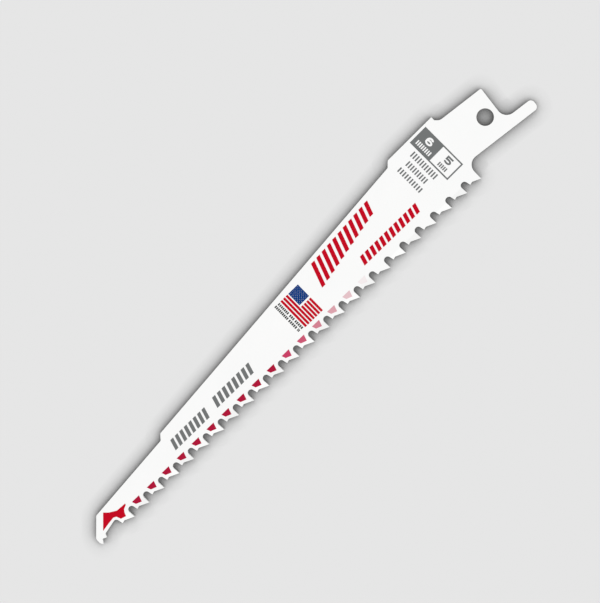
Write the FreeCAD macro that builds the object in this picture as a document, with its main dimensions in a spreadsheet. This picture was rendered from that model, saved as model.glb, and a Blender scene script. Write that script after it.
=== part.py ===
import FreeCAD, Part
import math
import os
import Sketcher

# Reciprocating saw blade, one piece of strip steel, in millimetres.
# Origin: centre of the pin hole, at mid thickness.
# +X runs along the tooth line to the nose, +Y to the teeth, +Z out of the printed face.
SIZES = {
    # Strip and shank
    "thickness": 0.9,
    "pin_hole": 4.25,          # diameter
    "shank_width": 12.24,
    "shank_cant": 6.6,         # degrees between the shank and the tooth line
    "shank_end": 3.42,         # pin hole to the shank's end
    "shank_corner": 0.4,       # radius
    "tail_width": 2.8,         # finger that runs on past the shank's end
    "tail_reach": 11.58,       # pin hole to the finger's end
    "tail_flat": 0.6,          # flat left between the finger's two end rounds
    "tail_fillet": 2.6,        # radius where the finger leaves the shank's end
    "shank_root": 2.0,         # how far the shank's own outline runs on inside the heel
    # Heel, where the shank widens into the blade
    "heel_front": 11.05,       # pin hole to the face below the last tooth
    "heel_fillet": 2.5,
    "notch_front": 8.35,       # pin hole to where the notch leaves the shank's back edge
    "notch_slope": 0.98,       # run and rise of the notch's sloping side
    "notch_fillet": 1.8,
    "heel_shoulder": 2.0,      # shank's back edge at the notch to the heel's back corner
    "heel_taper": 0.11,        # how much nearer to the teeth the heel's back ends than it starts
    "heel_flat": 14.89,        # length of the heel's back
    "heel_ramp": 1.3,          # run and rise of the step down from the heel
    # Back edge, as depths below the tooth line
    "body_depth": 17.86,
    "waist_depth": 10.31,
    "step_run": 1.23,
    "step_rise": 1.38,
    "nose_depth": 6.81,
    "step_place": 28.87,       # nose to the upper end of the step
    "back_round": 0.5,
    # Length and nose
    "blade_reach": 141.42,     # pin hole to the nose
    "nose_gap": 5.46,          # nose to the rake line that would follow the first tooth
    "nose_chamfer": 4.18,
    "nose_foot": 2.64,         # depth of the chamfer's lower end
    "nose_shoulder": 1.16,     # depth where the hook's outer side begins
    "nose_round": 1.0,
    "hook_setback": 0.46,
    "hook_drop": 0.51,
    "hook_notch": 1.22,
    "hook_notch_drop": 1.61,
    "hook_spur": 2.22,
    "hook_spur_drop": 1.14,
    "hook_root": 2.62,
    "hook_root_drop": 2.03,
    "hook_round": 0.15,
    "nose_floor_drop": 2.98,
    # Teeth
    "tip_line": 10.14,         # pin hole to the tooth tips
    "tooth_pitch": 5.211,
    "tooth_height": 2.65,
    "rake_lean": 0.15,         # how far a tip leans toward the shank
    "gullet_radius": 0.83,
    "limiter_lean": 0.42,      # gullet floor's end to the limiter's point
    "limiter_drop": 0.9,       # depth of the limiter's point
    "limiter_land": 0.8,       # limiter's point to the foot of the next tooth's back
    "dip_drop": 1.11,          # depth of that foot
    "dip_round": 0.3,
    "heel_trim": 0.195,        # what the heel's face takes off the last tooth
    "bend_rise": 0.75,         # gullet floor to the line where the teeth are bent
    "tooth_set": 0.28,         # sideways shift of a bent tip
    "edge_stock": 0.2,         # stock above the tips before they are cut
}

# Lines and places that several sketches share
TIP = "sizes.tip_line"
STOCK = f"({TIP} + sizes.edge_stock)"
CLEAR = f"({TIP} + 2 * sizes.edge_stock)"
FLOOR = f"({TIP} - sizes.tooth_height)"
BEND = f"({FLOOR} + sizes.bend_rise)"
FIRST_RAKE = "(sizes.heel_front + sizes.tooth_pitch - sizes.heel_trim)"
GULLETS = f"round((sizes.blade_reach - sizes.nose_gap - {FIRST_RAKE}) / sizes.tooth_pitch)"
NOSE_RAKE = f"({FIRST_RAKE} + {GULLETS} * sizes.tooth_pitch)"
HALF = "sizes.thickness / 2"
SHANK_HALF = "sizes.shank_width / 2"
TEETH_IN_SET = 3

doc = FreeCAD.newDocument("reciprocating_saw_blade")
sheet = doc.addObject("Spreadsheet::Sheet", "sizes")


def fill_sheet():
    for row, (name, size) in enumerate(SIZES.items(), start=1):
        sheet.set(f"A{row}", name)
        sheet.set(f"B{row}", str(size))
        sheet.setAlias(f"B{row}", name)
    doc.recompute()


def value(text):
    """The number that an expression on the sheet's sizes comes to."""
    result = sheet.evalExpression(text)
    return float(getattr(result, "Value", result))


def origin_part(body, role):
    return next(item for item in body.Origin.OriginFeatures if item.Role == role)


def new_sketch(body, name, plane):
    sketch = body.newObject("Sketcher::SketchObject", name)
    sketch.AttachmentSupport = [(origin_part(body, plane), "")]
    sketch.MapMode = "FlatFace"
    return sketch


def corner_places(corners):
    """Where each side of an outline starts and ends, with the centres of its round corners."""
    points = [FreeCAD.Vector(value(corner[0]), value(corner[1]), 0) for corner in corners]
    places = []
    for index, corner in enumerate(corners):
        point = points[index]
        toward = (point - points[index - 1]).normalize()
        onward = (points[(index + 1) % len(points)] - point).normalize()
        if len(corner) == 2:
            places.append({"point": point, "end": point, "start": point})
            continue
        radius = value(corner[2])
        half_angle = math.acos(max(-1.0, min(1.0, -toward.dot(onward)))) / 2
        reach = radius / math.tan(half_angle)
        places.append({
            "point": point,
            "end": point - toward * reach,
            "start": point + onward * reach,
            "centre": point + (onward - toward).normalize() * (radius / math.sin(half_angle)),
            "radius": radius,
            "left": toward.cross(onward).z > 0,
        })
    return places


def round_corner(place):
    """The arc of a round corner, counterclockwise as the sketch needs it."""
    centre = place["centre"]
    first, last = (place["end"], place["start"]) if place["left"] else (place["start"], place["end"])
    angles = [math.atan2(point.y - centre.y, point.x - centre.x) for point in (first, last)]
    circle = Part.Circle(centre, FreeCAD.Vector(0, 0, 1), place["radius"])
    return Part.ArcOfCircle(circle, *angles)


def hold(sketch, kind, where, text):
    """A dimension in a sketch that follows an expression."""
    index = sketch.addConstraint(Sketcher.Constraint(kind, *where, value(text)))
    sketch.setExpression(f"Constraints[{index}]", text)


def draw_outline(sketch, corners):
    """Closed outline of straight sides. A corner is (x, y), or (x, y, radius) where it is round."""
    places = corner_places(corners)
    count = len(corners)
    sides = [
        sketch.addGeometry(Part.LineSegment(places[index]["start"], places[(index + 1) % count]["end"]))
        for index in range(count)
    ]
    for index, corner in enumerate(corners):
        before, after, place = sides[index - 1], sides[index], places[index]
        if len(corner) == 2:
            sketch.addConstraint(Sketcher.Constraint("Coincident", before, 2, after, 1))
            held = after
        else:
            arc = sketch.addGeometry(round_corner(place))
            held = sketch.addGeometry(Part.Point(place["point"]), True)
            arc_ends = (1, 2) if place["left"] else (2, 1)
            sketch.addConstraint(Sketcher.Constraint("Tangent", before, 2, arc, arc_ends[0]))
            sketch.addConstraint(Sketcher.Constraint("Tangent", arc, arc_ends[1], after, 1))
            sketch.addConstraint(Sketcher.Constraint("PointOnObject", held, 1, before))
            sketch.addConstraint(Sketcher.Constraint("PointOnObject", held, 1, after))
            hold(sketch, "Radius", (arc,), corner[2])
        hold(sketch, "DistanceX", (-1, 1, held, 1), corner[0])
        hold(sketch, "DistanceY", (-1, 1, held, 1), corner[1])


def upright_edge(shape, x, y):
    """Name of the edge along Z that lies nearest to (x, y)."""
    best = None
    for number, edge in enumerate(shape.Edges, start=1):
        ends = [vertex.Point for vertex in edge.Vertexes]
        if len(ends) == 2 and math.hypot(ends[0].x - ends[1].x, ends[0].y - ends[1].y) < 1e-6:
            away = math.hypot(ends[0].x - x, ends[0].y - y)
            if best is None or away < best[0]:
                best = (away, f"Edge{number}")
    return best[1]


def plate_across(body, kind, name, sketch):
    """Pad or pocket of the strip's full thickness, centred on the mid plane."""
    feature = body.newObject(f"PartDesign::{kind}", name)
    feature.Profile = sketch
    feature.SideType = "Symmetric"
    feature.setExpression("Length", "sizes.thickness")
    if kind == "Pocket":
        feature.Type = "ThroughAll"
    return feature


def repeat(body, name, feature, spacing, copies):
    """Copies of a feature along the tooth line."""
    pattern = body.newObject("PartDesign::LinearPattern", name)
    pattern.Originals = [feature]
    pattern.Direction = (origin_part(body, "X_Axis"), [""])
    pattern.Mode = "Spacing"
    pattern.setExpression("Offset", spacing)
    pattern.setExpression("Occurrences", copies)
    body.Tip = pattern
    doc.recompute()
    return pattern


def back_of_tooth(rake):
    """Corners of the gullet's far side, from above the next tip down to the gullet's floor."""
    tip = f"{rake} - sizes.tooth_pitch - sizes.rake_lean"
    floor_end = f"{rake} - 2 * sizes.gullet_radius"
    limiter = f"{floor_end} - sizes.limiter_lean"
    dip = f"{limiter} - sizes.limiter_land"
    beyond = f"{tip} - ({dip} - ({tip})) * 2 * sizes.edge_stock / sizes.dip_drop"
    return [
        (beyond, CLEAR),
        (dip, f"{TIP} - sizes.dip_drop", "sizes.dip_round"),
        (limiter, f"{TIP} - sizes.limiter_drop"),
        (floor_end, FLOOR, "sizes.gullet_radius"),
    ]


def plate_outline(body):
    """The strip without its shank: heel, back edge and nose, with the toothed edge cut at the bend."""
    edge_angle = "cos(sizes.shank_cant)"
    shank_back = f"-({SHANK_HALF} + sizes.notch_front * sin(sizes.shank_cant)) / {edge_angle}"
    notch_start = "sizes.notch_front - sizes.notch_slope"
    notch_end = "sizes.notch_front + sizes.notch_slope"
    heel_back = f"{shank_back} - sizes.heel_shoulder"
    heel_end = f"{notch_end} + sizes.heel_flat"
    step_end = "sizes.blade_reach - sizes.step_place"
    last_tooth_end = f"{FIRST_RAKE} - sizes.gullet_radius"
    nose_start = f"{NOSE_RAKE} - sizes.gullet_radius"
    outer_slope = "(sizes.hook_setback / (sizes.nose_shoulder - sizes.hook_drop))"
    hook_top = f"sizes.blade_reach - (sizes.nose_shoulder + sizes.edge_stock) * {outer_slope}"
    sketch = new_sketch(body, "plate_outline", "XY_Plane")
    draw_outline(sketch, [
        ("sizes.heel_front", STOCK),
        ("sizes.heel_front", "0"),
        (notch_start, "0"),
        (notch_start, f"{shank_back} + sizes.notch_slope"),
        (notch_end, f"{shank_back} - sizes.notch_slope"),
        (notch_end, heel_back),
        (heel_end, f"{heel_back} + sizes.heel_taper", "sizes.back_round"),
        (f"{heel_end} + sizes.heel_ramp", f"{TIP} - sizes.body_depth", "sizes.back_round"),
        (f"{step_end} - sizes.step_run", f"{TIP} - sizes.waist_depth", "sizes.back_round"),
        (step_end, f"{TIP} - sizes.waist_depth + sizes.step_rise", "sizes.back_round"),
        ("sizes.blade_reach - sizes.nose_chamfer", f"{TIP} - sizes.nose_depth", "sizes.back_round"),
        ("sizes.blade_reach", f"{TIP} - sizes.nose_foot", "sizes.nose_round"),
        ("sizes.blade_reach", f"{TIP} - sizes.nose_shoulder", "sizes.nose_round"),
        (hook_top, STOCK),
        (nose_start, STOCK),
        (nose_start, BEND),
        (last_tooth_end, BEND),
        (last_tooth_end, STOCK),
    ])
    return sketch


def shank_outline(body):
    """The shank and its finger, drawn square and turned by the cant about the pin hole."""
    sketch = new_sketch(body, "shank_outline", "XY_Plane")
    sketch.setExpression("AttachmentOffset.Rotation.Angle", "-sizes.shank_cant")
    root = "sizes.heel_front + sizes.shank_root"
    finger_inner = f"{SHANK_HALF} - sizes.tail_width"
    finger_round = "(sizes.tail_width - sizes.tail_flat) / 2"
    draw_outline(sketch, [
        (root, SHANK_HALF),
        ("-sizes.tail_reach", SHANK_HALF, finger_round),
        ("-sizes.tail_reach", finger_inner, finger_round),
        ("-sizes.shank_end", finger_inner, "sizes.tail_fillet"),
        ("-sizes.shank_end", f"-{SHANK_HALF}", "sizes.shank_corner"),
        (root, f"-{SHANK_HALF}"),
    ])
    return sketch


def ease_corner(body, name, x, side, radius):
    """Fillet where an upright face of the heel at x meets the shank's edge on one side."""
    base = body.Tip
    y = f"({side} * {SHANK_HALF} - {x} * sin(sizes.shank_cant)) / cos(sizes.shank_cant)"
    fillet = body.newObject("PartDesign::Fillet", name)
    fillet.Base = (base, [upright_edge(base.Shape, value(x), value(y))])
    fillet.setExpression("Radius", radius)
    body.Tip = fillet
    doc.recompute()


def tooth_bar(body, name, place, lean):
    """A row of bars, every third tooth wide, bent by lean times the set above the bend line."""
    start = f"{FIRST_RAKE} + {place - 1} * sizes.tooth_pitch - sizes.gullet_radius / 2"
    top_shift = f"{lean} * sizes.tooth_set * ({STOCK} - {BEND}) / ({TIP} - {BEND})"
    sketch = new_sketch(body, f"{name}_section", "YZ_Plane")
    sketch.setExpression("AttachmentOffset.Base.z", start)
    overlap = f"{BEND} - sizes.bend_rise / 2"
    draw_outline(sketch, [
        (overlap, f"-{HALF}"),
        (BEND, f"-{HALF}"),
        (STOCK, f"{top_shift} - {HALF}"),
        (STOCK, f"{top_shift} + {HALF}"),
        (BEND, HALF),
        (overlap, HALF),
    ])
    bar = body.newObject("PartDesign::Pad", name)
    bar.Profile = sketch
    bar.setExpression("Length", "sizes.tooth_pitch - sizes.gullet_radius")
    copies = f"floor(({GULLETS} + {TEETH_IN_SET - place}) / {TEETH_IN_SET})"
    repeat(body, f"{name}_row", bar, f"{TEETH_IN_SET} * sizes.tooth_pitch", copies)


def cut_gullets(body):
    """The gullets, each with the back of the tooth beside it, along the whole edge."""
    rake_slope = "(sizes.rake_lean / sizes.tooth_height)"
    rake_top = f"{FIRST_RAKE} - (sizes.tooth_height + 2 * sizes.edge_stock) * {rake_slope}"
    sketch = new_sketch(body, "gullet_outline", "XY_Plane")
    draw_outline(sketch, back_of_tooth(FIRST_RAKE) + [
        (FIRST_RAKE, FLOOR, "sizes.gullet_radius"),
        (rake_top, CLEAR),
    ])
    gullet = plate_across(body, "Pocket", "gullet", sketch)
    repeat(body, "gullets", gullet, "sizes.tooth_pitch", GULLETS)


def cut_nose(body):
    """The long gullet in front of the first tooth, and the notch under the nose's hook."""
    nose = "sizes.blade_reach"
    tip_run = "(sizes.hook_notch - sizes.hook_setback)"
    tip_rise = "(sizes.hook_notch_drop - sizes.hook_drop)"
    past_tip = f"(sizes.hook_drop + 2 * sizes.edge_stock) * {tip_run} / {tip_rise}"
    sketch = new_sketch(body, "nose_gullet_outline", "XY_Plane")
    corners = back_of_tooth(NOSE_RAKE)
    corners[-1] = (corners[-1][0], f"{TIP} - sizes.nose_floor_drop", "sizes.gullet_radius")
    draw_outline(sketch, corners + [
        (f"{nose} - sizes.hook_root", f"{TIP} - sizes.hook_root_drop", "sizes.hook_round"),
        (f"{nose} - sizes.hook_spur", f"{TIP} - sizes.hook_spur_drop"),
        (f"{nose} - sizes.hook_notch", f"{TIP} - sizes.hook_notch_drop", "sizes.hook_round"),
        (f"{nose} - sizes.hook_setback + {past_tip}", CLEAR),
    ])
    body.Tip = plate_across(body, "Pocket", "nose_gullet", sketch)


def cut_pin_hole(body):
    sketch = new_sketch(body, "pin_hole_outline", "XY_Plane")
    circle = Part.Circle(FreeCAD.Vector(0, 0, 0), FreeCAD.Vector(0, 0, 1), value("sizes.pin_hole / 2"))
    ring = sketch.addGeometry(circle)
    sketch.addConstraint(Sketcher.Constraint("Coincident", ring, 3, -1, 1))
    hold(sketch, "Diameter", (ring,), "sizes.pin_hole")
    body.Tip = plate_across(body, "Pocket", "pin_hole", sketch)


def saw_blade():
    body = doc.addObject("PartDesign::Body", "saw_blade")
    body.Label = "saw_blade"
    body.Tip = plate_across(body, "Pad", "plate", plate_outline(body))
    body.Tip = plate_across(body, "Pad", "shank", shank_outline(body))
    doc.recompute()
    ease_corner(body, "heel_fillet", "sizes.heel_front", 1, "sizes.heel_fillet")
    ease_corner(body, "notch_fillet", "sizes.notch_front", -1, "sizes.notch_fillet")
    tooth_bar(body, "left_tooth", 1, 1)
    tooth_bar(body, "right_tooth", 2, -1)
    tooth_bar(body, "straight_tooth", 3, 0)
    cut_gullets(body)
    cut_nose(body)
    cut_pin_hole(body)
    body.Placement = FreeCAD.Placement()
    doc.recompute()
    return body


def check_document(parts):
    for item in doc.Objects:
        if "Invalid" in item.State or "Error" in item.State:
            raise RuntimeError(f"{item.Name} failed: {item.State}")
        if item.isDerivedFrom("Sketcher::SketchObject") and not item.FullyConstrained:
            raise RuntimeError(f"{item.Name} isn't fully constrained")
    for part in parts:
        if part.Shape.isNull() or not part.Shape.isValid() or len(part.Shape.Solids) != 1:
            raise RuntimeError(f"{part.Label} isn't one valid solid")


def write_parts(parts):
    os.makedirs("parts", exist_ok=True)
    for part in parts:
        part.Shape.exportStep(f"parts/{part.Label}.step")
        box = part.Shape.BoundBox
        print(f"{part.Label}: {box.XLength:.2f} x {box.YLength:.2f} x {box.ZLength:.2f} mm,"
              f" volume {part.Shape.Volume:.1f} mm3")


fill_sheet()
pieces = [saw_blade()]
check_document(pieces)
write_parts(pieces)
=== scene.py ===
import math

import bmesh
import bpy
from mathutils import Matrix, Vector
from mathutils.bvhtree import BVHTree
from mathutils.geometry import delaunay_2d_cdt


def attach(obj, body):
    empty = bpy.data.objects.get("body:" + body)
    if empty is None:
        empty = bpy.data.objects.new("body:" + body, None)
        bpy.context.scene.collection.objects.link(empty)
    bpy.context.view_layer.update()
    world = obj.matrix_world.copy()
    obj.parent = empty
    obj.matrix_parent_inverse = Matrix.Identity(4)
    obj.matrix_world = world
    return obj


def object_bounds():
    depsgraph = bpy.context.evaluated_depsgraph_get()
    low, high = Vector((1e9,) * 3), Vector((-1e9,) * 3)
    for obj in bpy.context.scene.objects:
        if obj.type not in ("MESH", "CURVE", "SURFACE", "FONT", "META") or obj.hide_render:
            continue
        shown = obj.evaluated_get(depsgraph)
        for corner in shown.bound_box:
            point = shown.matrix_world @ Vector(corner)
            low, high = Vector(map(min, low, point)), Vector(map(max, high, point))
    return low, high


# Lengths are written in millimetres and turned into metres by MM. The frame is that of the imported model:
# the pin hole's centre is the origin, +X runs to the nose, +Y to the teeth, +Z out of the printed face.
MM = 0.001

FACE_TOP = 0.45          # printed face above the middle plane
BEND_LINE = 8.24         # above it the teeth are bent to the sides
NOSE_RAKE = 130.71       # rake line of the tooth nearest the nose
TOOTH_PITCH = 5.211

INK_RISE = 0.012         # how far a printed field stands above the enamel
INK_DEPTH = 0.05         # thickness of the film, most of it sunk in the blade
ARC_STEP = 12.0          # degrees between the points of a printed round

# Camera, as fitted to the even spacing of the teeth
AIM = (63.7, 0.63, 0.0)
CAMERA_DISTANCE = 600.0
CAMERA_TILT = math.radians(5.62)
CAMERA_ROLL = math.radians(44.31)
SENSOR = 36.0
LENS = 146.1

RED = (0.53, 0.0, 0.013)
CRIMSON = (0.415, 0.006, 0.038)
PINK = (0.55, 0.0, 0.085)  # the crimson where it is screened back
GREY = (0.165, 0.172, 0.172)
DARK = (0.035, 0.038, 0.036)
BLUE = (0.003, 0.041, 0.2)
WHITE = (0.93, 0.93, 0.925)
WORN_WHITE = (0.915, 0.917, 0.912)

FLOOR_HALF = 2000.0
FLOOR_TONE = 0.771
# Painted shade: the floor's base colour is made darker near the blade, on top of the shadow the lamps cast
PAINTED_SHADE_REACH = 4.0      # how near the blade has to be for the painted shade to darken the floor's colour
PAINTED_SHADE_SIDES = 4
PAINTED_SHADE_RISE = 0.25      # how far the looks to the sides are lifted from level
# Painted shade: share of the floor's tone, by how much of its surroundings a point of the floor has free
PAINTED_SHADE_RAMP = [
    (0.6, 0.21), (0.68, 0.31), (0.72, 0.415), (0.85, 0.655),
    (0.9, 0.765), (0.945, 0.91), (0.975, 0.965), (1.0, 1.0),
]

STUDIO_LIGHT = 0.72
SUN_STRENGTH = 1.15
SUN_SPREAD = math.radians(70)
SUN_AIM = (0.12, -0.55, -0.85)

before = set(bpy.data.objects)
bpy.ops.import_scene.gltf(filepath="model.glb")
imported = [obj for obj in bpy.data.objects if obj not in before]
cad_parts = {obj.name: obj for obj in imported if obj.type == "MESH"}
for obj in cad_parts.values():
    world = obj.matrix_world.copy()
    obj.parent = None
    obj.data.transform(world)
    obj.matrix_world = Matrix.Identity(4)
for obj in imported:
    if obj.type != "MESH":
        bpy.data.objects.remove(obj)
cad_low, cad_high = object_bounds()
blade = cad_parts["saw_blade"]


# Materials

def node_tree(name):
    material = bpy.data.materials.new(name)
    material.use_nodes = True
    tree = material.node_tree
    return material, tree, tree.nodes["Principled BSDF"]


def link(tree, source, output, target, socket):
    tree.links.new(source.outputs[output], target.inputs[socket])


def noise(tree, scale, detail=2.0):
    place = tree.nodes.new("ShaderNodeTexCoord")
    texture = tree.nodes.new("ShaderNodeTexNoise")
    texture.inputs["Scale"].default_value = scale
    texture.inputs["Detail"].default_value = detail
    link(tree, place, "Object", texture, "Vector")
    return texture


def ramp(tree, stops):
    node = tree.nodes.new("ShaderNodeValToRGB")
    elements = node.color_ramp.elements
    while len(elements) < len(stops):
        elements.new(0.5)
    for element, (position, colour) in zip(elements, stops):
        element.position = position
        element.color = (*colour, 1.0)
    return node


def grey(level):
    return (level, level, level)


def enamel():
    """Baked white enamel: a fine orange peel, and a sheen that varies a little."""
    material, tree, shader = node_tree("white_enamel")
    peel = noise(tree, 900.0)
    bump = tree.nodes.new("ShaderNodeBump")
    bump.inputs["Strength"].default_value = 0.12
    bump.inputs["Distance"].default_value = 0.02 * MM
    link(tree, peel, "Fac", bump, "Height")
    link(tree, bump, "Normal", shader, "Normal")
    cloud = noise(tree, 120.0)
    tone = ramp(tree, [(0.3, WORN_WHITE), (0.7, WHITE)])
    link(tree, cloud, "Fac", tone, "Fac")
    link(tree, tone, "Color", shader, "Base Color")
    gloss = ramp(tree, [(0.3, grey(0.34)), (0.7, grey(0.44))])
    link(tree, cloud, "Fac", gloss, "Fac")
    link(tree, gloss, "Color", shader, "Roughness")
    return material


def ink(name, colour):
    """Screen printed ink: a matt film, slightly uneven in depth of colour."""
    material, tree, shader = node_tree(name)
    grain = noise(tree, 2200.0, 3.0)
    thin = tuple(c + 0.002 * (1.0 - c) for c in colour)
    tone = ramp(tree, [(0.35, colour), (0.75, thin)])
    link(tree, grain, "Fac", tone, "Fac")
    link(tree, tone, "Color", shader, "Base Color")
    gloss = ramp(tree, [(0.3, grey(0.42)), (0.7, grey(0.52))])
    link(tree, grain, "Fac", gloss, "Fac")
    link(tree, gloss, "Color", shader, "Roughness")
    shader.inputs["Specular IOR Level"].default_value = 0.04
    return material


def tint(share):
    """The crimson ink thinned towards the white under it."""
    colour = tuple(w + (p - w) * share for p, w in zip(PINK, WHITE))
    return ink(f"red_ink_{round(share * 100):03d}", colour)


# Printed fields

surface = BVHTree.FromObject(blade, bpy.context.evaluated_depsgraph_get())


def face_height(x, y):
    """Height of the printed side of the blade over a point, in metres."""
    hit = surface.ray_cast(Vector((x, y, 10 * MM)), Vector((0, 0, -1)))[0]
    return hit.z if hit else FACE_TOP * MM


def merged(outlines):
    """Flat triangles that cover outlines, which run counterclockwise, once where these overlap too."""
    points = [Vector(point) for outline in outlines for point in outline]
    faces = []
    start = 0
    for outline in outlines:
        faces.append(list(range(start, start + len(outline))))
        start += len(outline)
    points, _, faces, _, _, sources = delaunay_2d_cdt(points, [], faces, 1, 0.001)
    return points, [face for face, source in zip(faces, sources) if source]


def print_field(name, outlines, material, layer=1):
    """Closed outlines, in mm, laid on the blade as one thin film that follows the bend of the teeth."""
    sheet = bmesh.new()
    points, faces = merged(outlines)
    corners = [sheet.verts.new((x * MM, y * MM, 0.0)) for x, y in points]
    for face in faces:
        sheet.faces.new([corners[k] for k in face])
    everything = sheet.verts[:] + sheet.edges[:] + sheet.faces[:]
    bmesh.ops.bisect_plane(sheet, geom=everything, plane_co=(0, BEND_LINE * MM, 0), plane_no=(0, 1, 0))
    for vertex in sheet.verts:
        vertex.co.z = face_height(vertex.co.x, vertex.co.y) + layer * INK_RISE * MM
    sheet.normal_update()
    for face in sheet.faces:
        if face.normal.z < 0:
            face.normal_flip()
    mesh = bpy.data.meshes.new(name)
    sheet.to_mesh(mesh)
    sheet.free()
    piece = bpy.data.objects.new(name, mesh)
    bpy.context.scene.collection.objects.link(piece)
    mesh.materials.append(material)
    film = piece.modifiers.new("film", "SOLIDIFY")
    film.thickness = INK_DEPTH * MM
    film.offset = -1.0
    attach(piece, "root")


def box(x0, x1, y0, y1, lean=0.0):
    """A rectangle, or a slanted bar whose high y end is moved by lean along x."""
    return [(x0, y0), (x1, y0), (x1 + lean, y1), (x0 + lean, y1)]


def bars_along(x0, x1, y0, y1, count, share, lean=0.0):
    """Bars side by side along x, each as wide as a share of their spacing."""
    pitch = (x1 - x0) / count
    return [box(x0 + k * pitch, x0 + (k + share) * pitch, y0, y1, lean) for k in range(count)]


def bars_across(x0, x1, y0, y1, count, share):
    """Bars side by side along y."""
    pitch = (y1 - y0) / count
    return [box(x0, x1, y0 + k * pitch, y0 + (k + share) * pitch) for k in range(count)]


def frame_bars(x0, x1, y0, y1, width):
    """The four mitred bars of a rectangle's outline."""
    outer = box(x0, x1, y0, y1)
    inner = box(x0 + width, x1 - width, y0 + width, y1 - width)
    return [[outer[k], outer[(k + 1) % 4], inner[(k + 1) % 4], inner[k]] for k in range(4)]


def arc(centre, half_width, half_height, start, end):
    """Points counterclockwise on a part of an ellipse, the angles in degrees."""
    x, y = centre
    steps = math.ceil((end - start) / ARC_STEP)
    angles = [math.radians(start + (end - start) * k / steps) for k in range(steps + 1)]
    return [(x + half_width * math.cos(a), y + half_height * math.sin(a)) for a in angles]


def band(centre, outer, inner, start, end):
    """Four-sided fields between two ellipses, given by their half widths and half heights."""
    outside = arc(centre, *outer, start, end)
    inside = arc(centre, *inner, start, end)
    return [
        [outside[k], outside[k + 1], inside[k + 1], inside[k]]
        for k in range(len(outside) - 1)
    ]


def moved(outlines, x, y):
    return [[(u + x, v + y) for u, v in outline] for outline in outlines]


def turned(outlines, degrees):
    c = math.cos(math.radians(degrees))
    s = math.sin(math.radians(degrees))
    return [[(u * c - v * s, u * s + v * c) for u, v in outline] for outline in outlines]


# The printed design: tooth marks, a nose flash, a flag, a size box, and plain bars where words were

TOOTH_MARK = [(0.49, 7.08), (2.93, 7.08), (2.53, 8.13), (1.03, 8.7)]   # x from the rake line
FULL_MARKS = 10
FADING_MARKS = (0.95, 0.9, 0.77, 0.62, 0.43, 0.12)   # depth of colour of the marks after them

NOSE_FLASH = [
    (138.71, 7.25), (136.36, 6.87), (134.53, 6.65), (133.81, 6.99), (133.35, 8.16), (131.97, 8.58),
    (131.61, 7.68), (131.08, 6.98), (130.0, 6.52), (129.92, 6.16), (132.65, 6.0), (134.46, 4.95),
    (135.47, 3.98),
]

FLAG_TOP = 61.1          # the flag lies across the blade, its top towards the shank
FLAG_HOIST = -2.73
FLAG_FLY = 6.06
CANTON_FOOT = 64.41
CANTON_FLY = 1.22
SHORT_HOIST = 1.72       # the stripes beside the canton start here
STRIPE = 0.451
STRIPE_SPREAD = 1.4      # width of a red stripe, as a share of the even width
STRIPES = 13
CANTON_STRIPES = 7
STAR_ROWS = 9
STAR_COLUMNS = 11        # a row uses every other one
STAR_RADIUS = 0.078
STAR_WAIST = 0.4         # share of the radius at a star's inner corners

# Two rows of small bars below the flag: each row's place, then the start, end and count of its groups
FLAG_BARS_SHARE = 0.7
FLAG_BARS = [
    ((67.5, 68.18), [(-2.65, 0.95, 7), (1.3, 2.95, 3), (3.2, 5.9, 5)]),
    ((68.5, 69.2), [(-2.75, 1.8, 9), (2.05, 4.85, 5), (5.1, 5.8, 2)]),
]

LABEL_CENTRE = (14.56, -1.955)   # middle of the size box
LABEL_TURN = 90.65       # it reads towards the teeth
SIZE_BOX = (-6.46, 6.46, -2.72, 2.72)      # left, right, foot and top from its middle
SIZE_BOX_SPLIT = 0.05
SIZE_BOX_LINE = 0.37

# Rows of bars: left, right, foot, top and count, and the share of their spacing that is ink
LENGTH_BARS = (-5.4, -0.6, -1.9, -0.72, 8)
LENGTH_BARS_SHARE = 0.55
PITCH_BARS = (2.0, 4.85, -1.84, -0.76, 5)
PITCH_BARS_SHARE = 0.6
FINE_BARS = [(-4.15, 4.4, -5.0, -3.4, 11), (-3.35, 3.5, -7.4, -5.9, 9), (-3.75, 4.2, -9.8, -8.4, 10)]
FINE_BARS_SHARE = 0.5

SIX_PLACE = -3.15
FIVE_PLACE = 3.34
NUMERAL_FOOT = -0.17
NUMERAL_BOWL = (1.02, 0.67)      # half width and half height
NUMERAL_COUNTER = (0.52, 0.2)
SIX_MIDDLE = 1.0                 # half the figure's height
SIX_HOLLOW = (0.53, 0.52)        # inner half width and half height of the rising stroke
SIX_SWEEP = (38, 180)            # degrees
FIVE_SHIFT = -0.04
FIVE_SWEEP = (-155, 130)
FIVE_HALF = 0.93
FIVE_TOP = 1.95
FIVE_STROKE = 0.46
FIVE_BACK_FOOT = 0.8

# Slanted bars that grow towards the nose
RISING_BARS = 11
RISING_START = 34.6
RISING_PITCH = 1.95
RISING_WIDTH = 1.15
RISING_SLANT = 0.35              # run along the blade for its rise across it
RISING_FOOT = -5.6
RISING_FOOT_STEP = 0.15          # each bar starts this much nearer to the teeth than the last
RISING_TOP = -2.2
RISING_TOP_STEP = 0.42

# Rows of leaning bars, in the blade's own frame
SHORT_BARS = (26.6, 46.0, 3.0, 5.4, 12)
SHORT_BARS_SHARE = 0.66
SHORT_BARS_LEAN = 0.7
HEAVY_BARS_NOSE = (98.9, 111.3, 2.75, 5.5, 8)
HEAVY_BARS_HEEL = (83.3, 96.5, 2.45, 5.2, 8)
HEAVY_BARS_SHARE = 0.63
HEAVY_BARS_LEAN = 0.8


def tooth_mark(i):
    rake = NOSE_RAKE - i * TOOTH_PITCH
    return [(rake + x, y) for x, y in TOOTH_MARK]


def print_tooth_marks(crimson):
    print_field("tooth_marks", [tooth_mark(i) for i in range(1, FULL_MARKS + 1)], crimson)
    for k, share in enumerate(FADING_MARKS, start=1):
        print_field(f"fading_mark_{k}", [tooth_mark(FULL_MARKS + k)], tint(share))


def print_nose_flash(red):
    print_field("nose_flash", [NOSE_FLASH], red)


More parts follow.
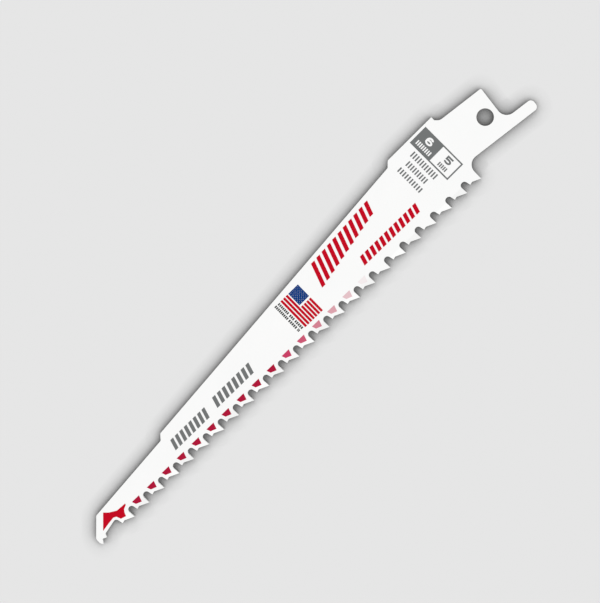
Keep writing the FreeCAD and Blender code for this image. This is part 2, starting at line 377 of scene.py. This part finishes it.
def star(x, y):
    """A five-pointed star, one point towards the flag's top."""
    corners = []
    for k in range(10):
        angle = math.radians(180 + 36 * k)
        reach = STAR_RADIUS if k % 2 == 0 else STAR_WAIST * STAR_RADIUS
        corners.append((x + reach * math.cos(angle), y + reach * math.sin(angle)))
    return corners


def print_stripes(red):
    stripes = []
    for k in range(0, STRIPES, 2):
        hoist = SHORT_HOIST if k < CANTON_STRIPES else FLAG_HOIST
        top = FLAG_TOP + k * STRIPE
        stripes.append(box(top, top + STRIPE_SPREAD * STRIPE, hoist, FLAG_FLY))
    print_field("flag_stripes", stripes, red)


def print_canton(blue, white):
    print_field("flag_canton", [box(FLAG_TOP, CANTON_FOOT, FLAG_HOIST, CANTON_FLY)], blue)
    down = (CANTON_FOOT - FLAG_TOP) / (STAR_ROWS + 1)
    along = (CANTON_FLY - FLAG_HOIST) / (STAR_COLUMNS + 1)
    stars = []
    for row in range(STAR_ROWS):
        first = 1 + row % 2
        for column in range(first, STAR_COLUMNS + 1, 2):
            stars.append(star(FLAG_TOP + (row + 1) * down, FLAG_HOIST + column * along))
    print_field("flag_stars", stars, white, layer=2)


def numeral_six():
    """A wide figure, its foot on the line v = 0."""
    half_width, bowl_middle = NUMERAL_BOWL
    bowl = band((0.0, bowl_middle), NUMERAL_BOWL, NUMERAL_COUNTER, 0, 360)
    stroke = band((0.0, SIX_MIDDLE), (half_width, SIX_MIDDLE), SIX_HOLLOW, *SIX_SWEEP)
    back = box(-half_width, -SIX_HOLLOW[0], bowl_middle, SIX_MIDDLE)
    return bowl + stroke + [back]


def numeral_five():
    """A wide figure with a flat top, its foot on the line v = 0."""
    bowl = band((FIVE_SHIFT, NUMERAL_BOWL[1]), NUMERAL_BOWL, NUMERAL_COUNTER, *FIVE_SWEEP)
    back = box(-FIVE_HALF, -FIVE_HALF + FIVE_STROKE, FIVE_BACK_FOOT, FIVE_TOP)
    bar = box(-FIVE_HALF, FIVE_HALF, FIVE_TOP - FIVE_STROKE, FIVE_TOP)
    return bowl + [back, bar]


def print_label(name, outlines, film, layer=1):
    """Outlines drawn upright about the size box's middle."""
    print_field(name, moved(turned(outlines, LABEL_TURN), *LABEL_CENTRE), film, layer)


def print_size_box(grey_film, white):
    left, right, foot, top = SIZE_BOX
    fields = frame_bars(left, right, foot, top, SIZE_BOX_LINE)
    fields.append(box(left, SIZE_BOX_SPLIT, foot, top))
    print_label("size_box", fields, grey_film)
    six = moved(numeral_six(), SIX_PLACE, NUMERAL_FOOT)
    print_label("length_numeral", six, white, layer=2)
    length_bars = bars_along(*LENGTH_BARS, LENGTH_BARS_SHARE)
    print_label("length_bars", length_bars, white, layer=2)
    five = moved(numeral_five(), FIVE_PLACE, NUMERAL_FOOT)
    print_label("pitch_numeral", five, grey_film)
    print_label("pitch_bars", bars_along(*PITCH_BARS, PITCH_BARS_SHARE), grey_film)


def print_label_bars(grey_film):
    """Three rows of bars under the size box."""
    for row, field in enumerate(FINE_BARS, start=1):
        print_label(f"fine_bars_{row}", bars_along(*field, FINE_BARS_SHARE), grey_film)


def print_rising_bars(red):
    bars = []
    for k in range(RISING_BARS):
        x = RISING_START + k * RISING_PITCH
        foot = RISING_FOOT + k * RISING_FOOT_STEP
        top = RISING_TOP + k * RISING_TOP_STEP
        bars.append(box(x, x + RISING_WIDTH, foot, top, RISING_SLANT * (top - foot)))
    print_field("rising_bars", bars, red)


def print_short_bars(red):
    bars = bars_along(*SHORT_BARS, SHORT_BARS_SHARE, SHORT_BARS_LEAN)
    print_field("short_bars", bars, red)


def print_heavy_bars(grey_film):
    for name, field in (("heavy_bars_nose", HEAVY_BARS_NOSE), ("heavy_bars_heel", HEAVY_BARS_HEEL)):
        bars = bars_along(*field, HEAVY_BARS_SHARE, HEAVY_BARS_LEAN)
        print_field(name, bars, grey_film)


def print_flag_bars(dark):
    bars = []
    for (x0, x1), groups in FLAG_BARS:
        for start, end, count in groups:
            bars += bars_across(x0, x1, start, end, count, FLAG_BARS_SHARE)
    print_field("flag_bars", bars, dark)


def dress_blade():
    white = enamel()
    red = ink("red_ink", RED)
    crimson = ink("crimson_ink", CRIMSON)
    grey_film = ink("grey_ink", GREY)
    dark = ink("dark_ink", DARK)
    blue = ink("blue_ink", BLUE)
    blade.data.materials.clear()
    blade.data.materials.append(white)
    for polygon in blade.data.polygons:
        polygon.material_index = 0
    print_tooth_marks(crimson)
    print_nose_flash(red)
    print_stripes(red)
    print_canton(blue, white)
    print_size_box(grey_film, white)
    print_label_bars(grey_film)
    print_rising_bars(red)
    print_short_bars(red)
    print_heavy_bars(grey_film)
    print_flag_bars(dark)


# Floor, light and camera

def floor_material():
    """Pale grey, with painted shade: the base colour is darkened where the blade keeps the light from the
    sides off it.
    """
    material, tree, shader = node_tree("floor")
    shader.inputs["Roughness"].default_value = 0.9
    shader.inputs["Specular IOR Level"].default_value = 0.0
    total = None
    # Painted shade: occlusion looked for to four sides, averaged, then put into the floor's base colour
    for k in range(PAINTED_SHADE_SIDES):
        turn = 2 * math.pi * k / PAINTED_SHADE_SIDES
        side = tree.nodes.new("ShaderNodeCombineXYZ")
        side.inputs["X"].default_value = math.cos(turn)
        side.inputs["Y"].default_value = math.sin(turn)
        side.inputs["Z"].default_value = PAINTED_SHADE_RISE
        painted_shade_probe = tree.nodes.new("ShaderNodeAmbientOcclusion")
        painted_shade_probe.samples = 8
        painted_shade_probe.inputs["Distance"].default_value = PAINTED_SHADE_REACH * MM
        link(tree, side, "Vector", painted_shade_probe, "Normal")
        if total is None:
            total = painted_shade_probe.outputs["AO"]
        else:
            add = tree.nodes.new("ShaderNodeMath")
            add.operation = "ADD"
            tree.links.new(total, add.inputs[0])
            tree.links.new(painted_shade_probe.outputs["AO"], add.inputs[1])
            total = add.outputs[0]
    mean = tree.nodes.new("ShaderNodeMath")
    mean.operation = "MULTIPLY"
    mean.inputs[1].default_value = 1 / PAINTED_SHADE_SIDES
    tree.links.new(total, mean.inputs[0])
    # Painted shade: the less of its surroundings a floor point has free, the darker its colour
    tone = ramp(tree, [(free, grey(share * FLOOR_TONE)) for free, share in PAINTED_SHADE_RAMP])
    link(tree, mean, "Value", tone, "Fac")
    link(tree, tone, "Color", shader, "Base Color")
    return material


def add_floor():
    """A wide sheet that the teeth bent down stand on."""
    mesh = bpy.data.meshes.new("floor")
    outline = box(-FLOOR_HALF, FLOOR_HALF, -FLOOR_HALF, FLOOR_HALF)
    corners = [(x * MM, y * MM, cad_low[2]) for x, y in outline]
    mesh.from_pydata(corners, [], [(0, 1, 2, 3)])
    mesh.materials.append(floor_material())
    floor = bpy.data.objects.new("floor", mesh)
    bpy.context.scene.collection.objects.link(floor)


def add_sun():
    """A wide soft light from the side of the teeth."""
    lamp = bpy.data.lights.new("sun", "SUN")
    lamp.energy = SUN_STRENGTH
    lamp.angle = SUN_SPREAD
    holder = bpy.data.objects.new("sun", lamp)
    holder.rotation_mode = "QUATERNION"
    holder.rotation_quaternion = Vector(SUN_AIM).to_track_quat("-Z", "Y")
    bpy.context.scene.collection.objects.link(holder)


def add_camera():
    camera = bpy.data.cameras.new("camera")
    camera.sensor_width = SENSOR
    camera.lens = LENS
    camera.clip_start = 10 * MM
    camera.clip_end = 5000 * MM
    back = Vector((-math.sin(CAMERA_TILT), 0, math.cos(CAMERA_TILT)))
    to_shank = Vector((-math.cos(CAMERA_TILT), 0, -math.sin(CAMERA_TILT)))
    to_teeth = Vector((0, 1, 0))
    right = to_shank * math.cos(CAMERA_ROLL) + to_teeth * math.sin(CAMERA_ROLL)
    up = to_shank * math.sin(CAMERA_ROLL) - to_teeth * math.cos(CAMERA_ROLL)
    holder = bpy.data.objects.new("camera", camera)
    holder.rotation_mode = "QUATERNION"
    holder.rotation_quaternion = Matrix((right, up, back)).transposed().to_quaternion()
    holder.location = (Vector(AIM) + back * CAMERA_DISTANCE) * MM
    bpy.context.scene.collection.objects.link(holder)
    bpy.context.scene.camera = holder


def add_world():
    world = bpy.data.worlds.new("studio")
    world.use_nodes = True
    background = world.node_tree.nodes["Background"]
    background.inputs["Color"].default_value = (1, 1, 1, 1)
    background.inputs["Strength"].default_value = STUDIO_LIGHT
    bpy.context.scene.world = world


dress_blade()
add_floor()
add_world()
add_sun()
add_camera()
bpy.context.scene.view_settings.view_transform = "Standard"
